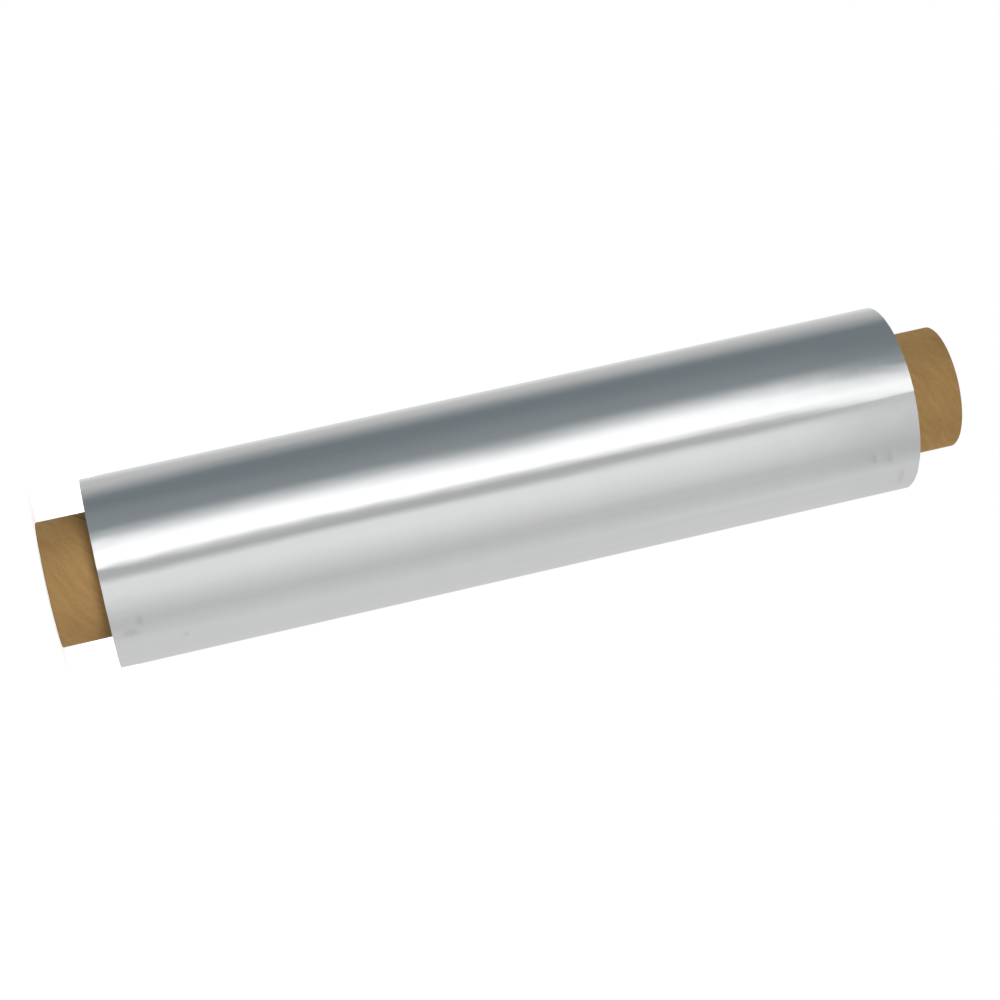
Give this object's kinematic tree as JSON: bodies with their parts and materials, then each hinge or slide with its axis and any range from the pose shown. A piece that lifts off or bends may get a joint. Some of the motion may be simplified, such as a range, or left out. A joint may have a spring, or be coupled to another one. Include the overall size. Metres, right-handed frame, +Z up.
{
  "type": "aluminium foil roll",
  "caption": "Roll of aluminium foil wound tight on a kraft cardboard core that stands out at each end, for tearing off sheets to wrap or cover food.",
  "frame": {"origin": "middle of the lower end of the core, on the surface that the roll stands on", "axes": "+Z up along the axis of the roll, from the end of the core that stands out less to the end that stands out more; -Y is the side that the picture looks at, where the free edge of the foil lies"},
  "size_m": [0.0697, 0.0698, 0.34],
  "materials": {
    "foil": "bright rolled foil, glossy with fine rolling lines round the roll",
    "core_board": "matt brown kraft board, wound from paper strips"
  },
  "bodies": {
    "root": {"foil_winding": "foil", "core_tube": "core_board"}
  },
  "joints": []
}
